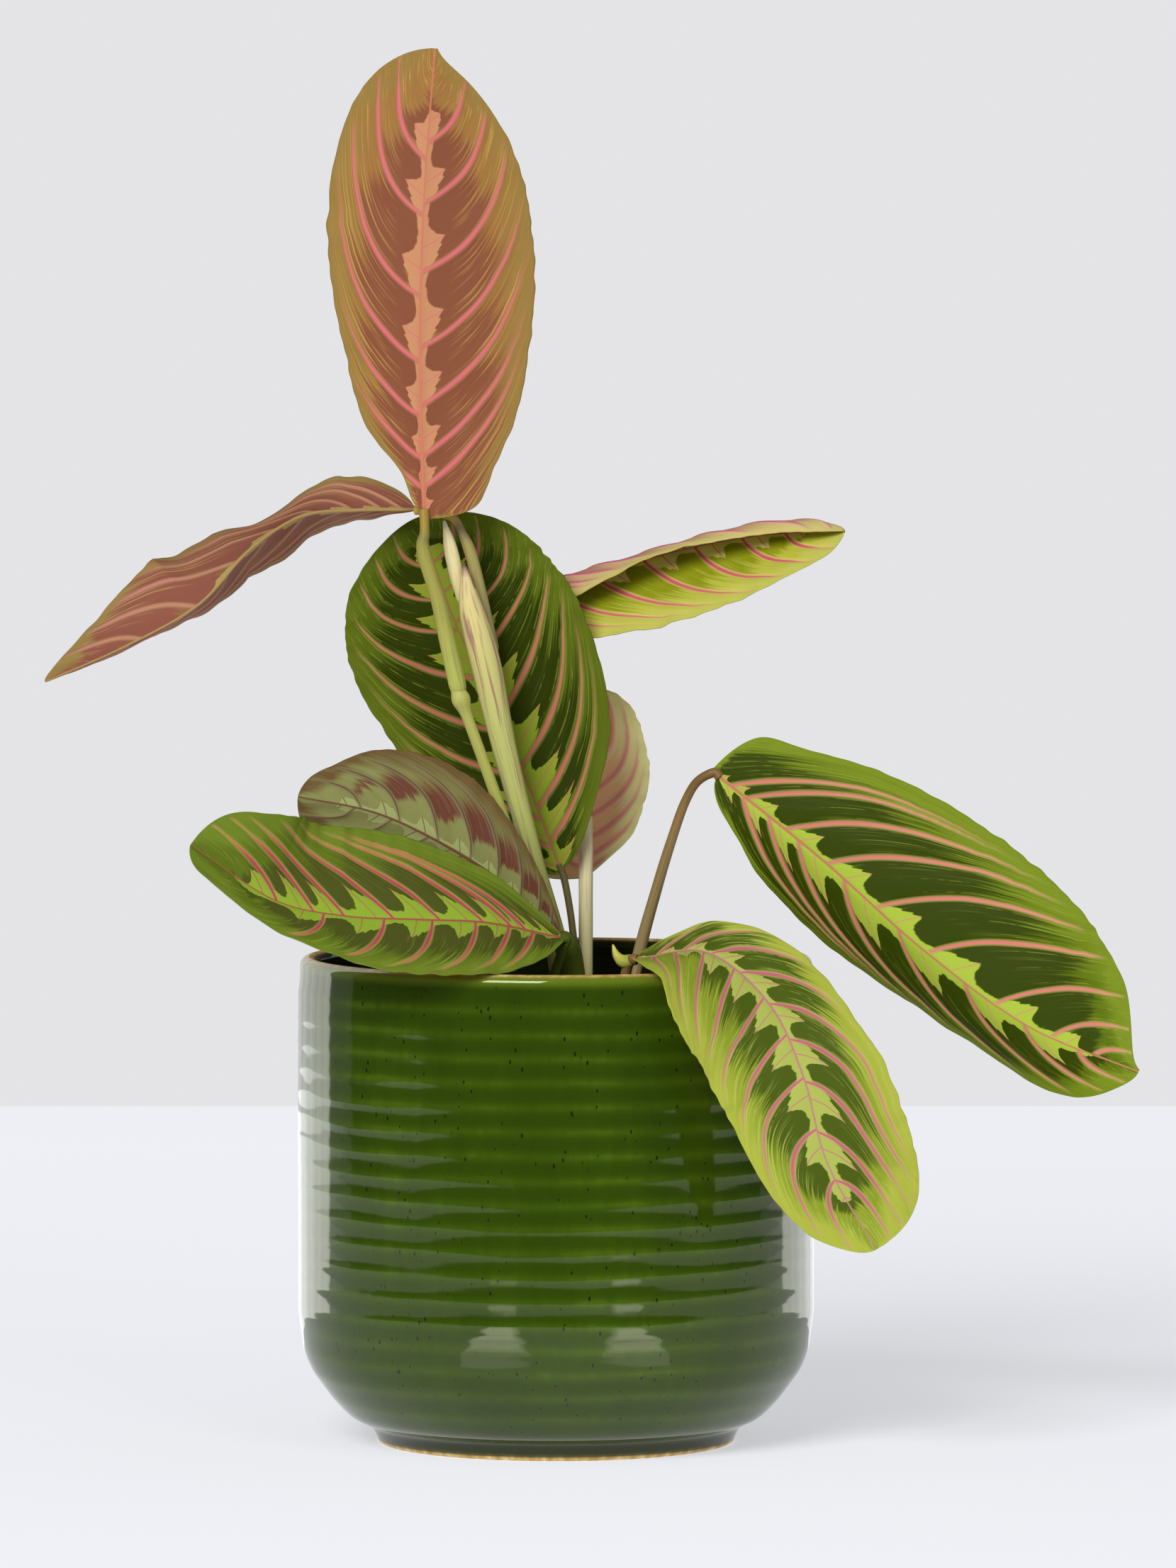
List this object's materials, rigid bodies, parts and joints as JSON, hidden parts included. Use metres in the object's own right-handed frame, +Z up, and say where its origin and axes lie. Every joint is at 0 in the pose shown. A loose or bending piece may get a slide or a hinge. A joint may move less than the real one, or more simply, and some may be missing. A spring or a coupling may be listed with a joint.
{
  "type": "potted prayer plant",
  "caption": "Prayer plant with patterned, red-veined leaves on thin petioles, in a grow pot inside a ribbed green-glazed ceramic cover pot.",
  "frame": {"origin": "middle of the cover pot's flat foot, on the surface that it stands on", "axes": "+Z up, -Y towards the side that the picture shows, +X to the right of that view"},
  "size_m": [0.3053, 0.154, 0.3931],
  "materials": {
    "green_glaze": "glossy transparent green glaze over stoneware, thin and yellow on the ribs",
    "grow_pot_plastic": "matt black moulded polypropylene",
    "potting_mix": "loose peat and bark potting mix",
    "pale_stem": "smooth pale green stem with faint purple streaks",
    "brown_petiole": "smooth olive brown petiole",
    "leaf_upper": "satin green leaf, dark blotches, pink veins",
    "leaf_underside": "satin reddish brown leaf underside with pink veins"
  },
  "bodies": {
    "root": {"cover_pot": "green_glaze", "grow_pot": "grow_pot_plastic", "soil": "potting_mix", "shoot_left": "pale_stem", "shoot_right": "pale_stem", "sheath_tip": "pale_stem", "stem_top_leaf": "pale_stem", "petiole_top": "pale_stem", "petiole_underside": "pale_stem", "bract_front": "pale_stem", "petiole_left": "brown_petiole", "petiole_centre": "brown_petiole", "petiole_rolled": "brown_petiole", "petiole_back": "brown_petiole", "petiole_lower_left": "brown_petiole", "petiole_right": "brown_petiole", "petiole_front": "brown_petiole", "leaf_top": "leaf_underside", "leaf_left": "leaf_underside", "leaf_centre": "leaf_upper", "leaf_rolled": "leaf_upper", "leaf_back": "leaf_underside", "leaf_lower_left": "leaf_upper", "leaf_underside": "leaf_underside", "leaf_right": "leaf_upper", "leaf_front": "leaf_upper"}
  },
  "joints": []
}
